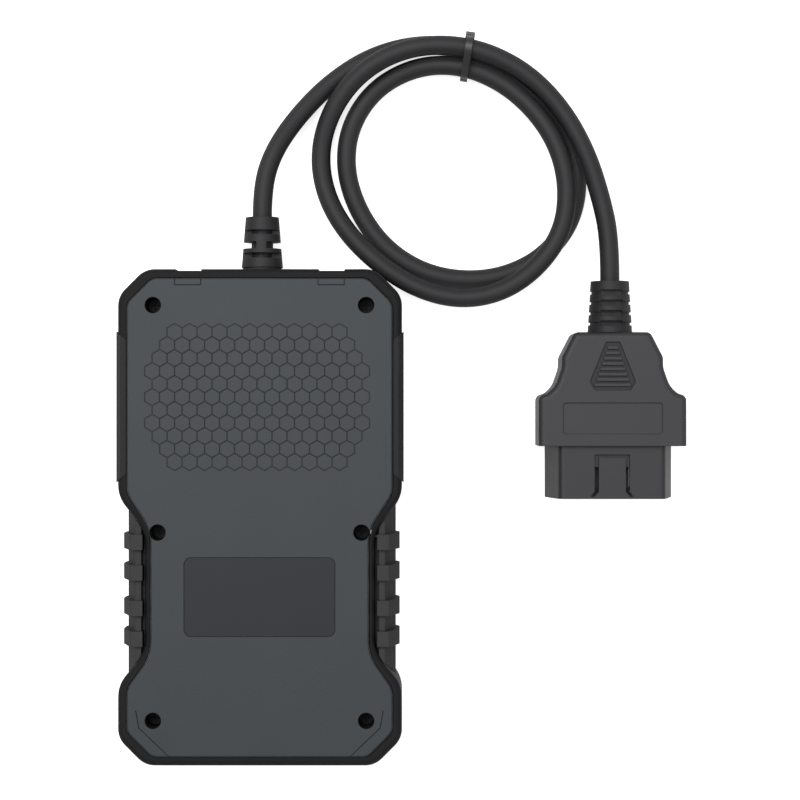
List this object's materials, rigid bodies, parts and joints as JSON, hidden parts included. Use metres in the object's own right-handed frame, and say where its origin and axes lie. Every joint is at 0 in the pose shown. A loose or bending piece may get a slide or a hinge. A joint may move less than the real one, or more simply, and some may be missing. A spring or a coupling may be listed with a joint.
{
  "type": "obd code reader",
  "caption": "Handheld vehicle code reader: display and sprung keys in a case with a rubber bumper, and a tied cable that ends in a diagnostic plug.",
  "frame": {"origin": "middle of the tool's footprint, without its cable, on the surface that it lies on, face down", "axes": "+Z out of the tool's back, +Y along the tool towards its cable end, +X to the side where the plug lies"},
  "size_m": [0.1713, 0.2218, 0.026],
  "materials": {
    "rear_cover": "fine texture",
    "front_cover": "fine texture",
    "bumper_frame": "satin",
    "left_grip": "satin",
    "right_grip": "satin",
    "left_side_trim": "satin",
    "right_side_trim": "satin",
    "case_screws": "black zinc",
    "rating_label": "smooth film",
    "screen_lens": "tinted",
    "display_gasket": "foam",
    "display_module": "satin",
    "main_board": "solder mask",
    "interface_board": "solder mask",
    "board_spacers": "turned",
    "board_link": "moulded",
    "processor_chips": "moulded",
    "interface_chips": "moulded",
    "board_screws": "zinc plated",
    "buzzer": "moulded",
    "dome_switches": "stamped",
    "key_guide": "moulded",
    "status_light_pipes": "clear",
    "status_leds": "moulded",
    "board_connector": "moulded",
    "tool_cable_cores": "satin",
    "device_strain_relief": "satin",
    "cable": "satin",
    "cable_tie": "moulded",
    "plug_strain_relief": "satin",
    "plug_housing": "fine texture",
    "plug_inner_mould": "moulded",
    "connector_shell": "satin",
    "pin_carrier": "satin",
    "contact_pins": "tin plated",
    "key_up": "satin",
    "key_down": "satin",
    "key_left": "satin",
    "key_right": "satin",
    "key_ok": "satin",
    "key_back": "satin",
    "key_menu": "satin"
  },
  "bodies": {
    "tool": {"rear_cover": "rear_cover", "front_cover": "front_cover", "bumper_frame": "bumper_frame", "left_grip": "left_grip", "right_grip": "right_grip", "left_side_trim": "left_side_trim", "right_side_trim": "right_side_trim", "case_screws": "case_screws", "rating_label": "rating_label", "screen_lens": "screen_lens", "display_gasket": "display_gasket", "display_module": "display_module", "main_board": "main_board", "interface_board": "interface_board", "board_spacers": "board_spacers", "board_link": "board_link", "processor_chips": "processor_chips", "interface_chips": "interface_chips", "board_screws": "board_screws", "buzzer": "buzzer", "dome_switches": "dome_switches", "key_guide": "key_guide", "status_light_pipes": "status_light_pipes", "status_leds": "status_leds", "board_connector": "board_connector", "tool_cable_cores": "tool_cable_cores", "device_strain_relief": "device_strain_relief", "cable": "cable", "cable_tie": "cable_tie", "plug_strain_relief": "plug_strain_relief", "plug_housing": "plug_housing", "plug_inner_mould": "plug_inner_mould", "connector_shell": "connector_shell", "pin_carrier": "pin_carrier", "contact_pins": "contact_pins"},
    "key_up": {"key_up": "key_up"},
    "key_down": {"key_down": "key_down"},
    "key_left": {"key_left": "key_left"},
    "key_right": {"key_right": "key_right"},
    "key_ok": {"key_ok": "key_ok"},
    "key_back": {"key_back": "key_back"},
    "key_menu": {"key_menu": "key_menu"}
  },
  "joints": [
    {"name": "key_up_press", "type": "slide", "parent": "tool", "child": "key_up", "axis": [0, 0, 1], "range_m": [0, 0.0009], "stiffness_N_per_m": 900, "springref_m": -0.0009},
    {"name": "key_down_press", "type": "slide", "parent": "tool", "child": "key_down", "axis": [0, 0, 1], "range_m": [0, 0.0009], "stiffness_N_per_m": 900, "springref_m": -0.0009},
    {"name": "key_left_press", "type": "slide", "parent": "tool", "child": "key_left", "axis": [0, 0, 1], "range_m": [0, 0.0009], "stiffness_N_per_m": 900, "springref_m": -0.0009},
    {"name": "key_right_press", "type": "slide", "parent": "tool", "child": "key_right", "axis": [0, 0, 1], "range_m": [0, 0.0009], "stiffness_N_per_m": 900, "springref_m": -0.0009},
    {"name": "key_ok_press", "type": "slide", "parent": "tool", "child": "key_ok", "axis": [0, 0, 1], "range_m": [0, 0.0009], "stiffness_N_per_m": 900, "springref_m": -0.0009},
    {"name": "key_back_press", "type": "slide", "parent": "tool", "child": "key_back", "axis": [0, 0, 1], "range_m": [0, 0.0009], "stiffness_N_per_m": 900, "springref_m": -0.0009},
    {"name": "key_menu_press", "type": "slide", "parent": "tool", "child": "key_menu", "axis": [0, 0, 1], "range_m": [0, 0.0009], "stiffness_N_per_m": 900, "springref_m": -0.0009}
  ]
}
